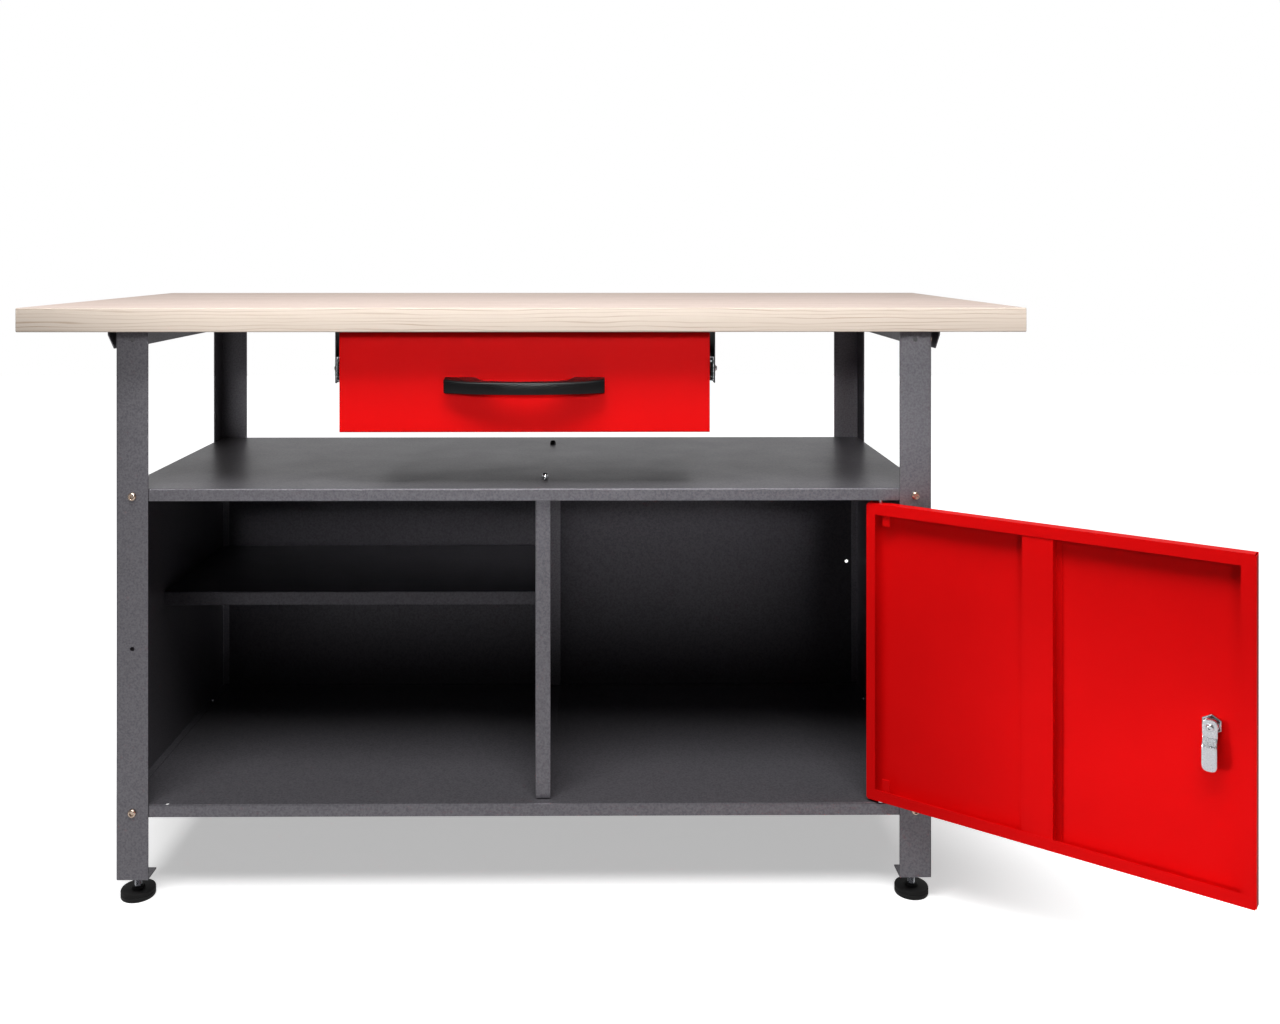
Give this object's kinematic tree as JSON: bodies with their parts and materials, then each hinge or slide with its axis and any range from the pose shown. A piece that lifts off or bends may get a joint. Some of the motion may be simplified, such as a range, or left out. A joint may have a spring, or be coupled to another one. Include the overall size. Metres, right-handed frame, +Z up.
{
  "type": "workbench with cabinet door",
  "caption": "Steel workbench with a laminated board, a drawer hung below it, open shelves and a hinged cabinet door with a cam lock, on levelling feet.",
  "frame": {"origin": "on the floor, at the middle of the whole box with the door open", "axes": "+X along the bench to the right as seen from the front, +Y towards the back, +Z up"},
  "size_m": [1.5994, 0.8354, 0.85],
  "materials": {
    "worktop": "laminate, satin",
    "hammertone": "hammered paint",
    "red": "satin enamel",
    "black_steel": "satin",
    "black_plastic": "fine grain",
    "zinc": "zinc plated"
  },
  "bodies": {
    "frame": {"worktop": "worktop", "leg_front_left": "hammertone", "leg_front_right": "hammertone", "leg_rear_left": "hammertone", "leg_rear_right": "hammertone", "top_rail_left": "hammertone", "top_rail_right": "hammertone", "mid_shelf": "hammertone", "bottom_shelf": "hammertone", "inner_shelf": "hammertone", "side_panel_left": "hammertone", "side_panel_right": "hammertone", "back_panel": "hammertone", "divider": "hammertone", "drawer_hanger_left": "black_steel", "drawer_hanger_right": "black_steel", "slide_outer_left": "zinc", "slide_outer_right": "zinc", "foot_plate_front_left": "hammertone", "foot_plate_front_right": "hammertone", "foot_plate_rear_left": "hammertone", "foot_plate_rear_right": "hammertone", "shelf_bolt_front_left_upper": "zinc", "shelf_bolt_front_left_lower": "zinc", "shelf_bolt_front_right_upper": "zinc", "shelf_bolt_front_right_lower": "zinc", "shelf_bolt_rear_left_upper": "zinc", "shelf_bolt_rear_left_lower": "zinc", "shelf_bolt_rear_right_upper": "zinc", "shelf_bolt_rear_right_lower": "zinc", "rail_bolt_front_left": "zinc", "rail_bolt_front_right": "zinc", "rail_bolt_rear_left": "zinc", "rail_bolt_rear_right": "zinc"},
    "drawer": {"drawer_front": "red", "drawer_tray": "black_steel", "drawer_handle": "black_plastic", "slide_inner_left": "zinc", "slide_inner_right": "zinc"},
    "slide_cages": {"slide_cage_left": "zinc", "slide_cage_right": "zinc"},
    "door": {"door_panel": "red", "door_stiffener": "red", "hinge_tab_top": "red", "hinge_tab_bottom": "red", "hinge_pin_top": "zinc", "hinge_pin_bottom": "zinc", "lock_body": "zinc", "lock_nut": "zinc"},
    "lock_cam": {"lock_plug": "zinc", "lock_cam": "zinc", "lock_cam_screw": "zinc"},
    "foot_front_left": {"foot_disc_front_left": "black_plastic", "foot_stud_front_left": "zinc"},
    "foot_front_right": {"foot_disc_front_right": "black_plastic", "foot_stud_front_right": "zinc"},
    "foot_rear_left": {"foot_disc_rear_left": "black_plastic", "foot_stud_rear_left": "zinc"},
    "foot_rear_right": {"foot_disc_rear_right": "black_plastic", "foot_stud_rear_right": "zinc"}
  },
  "joints": [
    {"name": "drawer_slide", "type": "slide", "parent": "frame", "child": "drawer", "axis": [0, -1, 0], "range_m": [0, 0.28]},
    {"name": "cage_slide", "type": "slide", "parent": "frame", "child": "slide_cages", "axis": [0, -1, 0], "range_m": [0, 0.14]},
    {"name": "door_hinge", "type": "hinge", "parent": "frame", "child": "door", "pos_m": [0.41062, -0.12605, 0.354], "axis": [0, 0, 1], "range_deg": [-143.5, 0]},
    {"name": "lock_turn", "type": "hinge", "parent": "door", "child": "lock_cam", "pos_m": [0.75413, -0.38023, 0.349], "axis": [-0.5948, -0.8039, 0], "range_deg": [0, 90]},
    {"name": "foot_front_left_level", "type": "slide", "parent": "frame", "child": "foot_front_left", "axis": [0, 0, 1], "range_m": [-0.01, 0.016]},
    {"name": "foot_front_right_level", "type": "slide", "parent": "frame", "child": "foot_front_right", "axis": [0, 0, 1], "range_m": [-0.01, 0.016]},
    {"name": "foot_rear_left_level", "type": "slide", "parent": "frame", "child": "foot_rear_left", "axis": [0, 0, 1], "range_m": [-0.01, 0.016]},
    {"name": "foot_rear_right_level", "type": "slide", "parent": "frame", "child": "foot_rear_right", "axis": [0, 0, 1], "range_m": [-0.01, 0.016]}
  ],
  "couplings": [
    {"joint": "cage_slide", "follows": "drawer_slide", "ratio": 0.5}
  ]
}
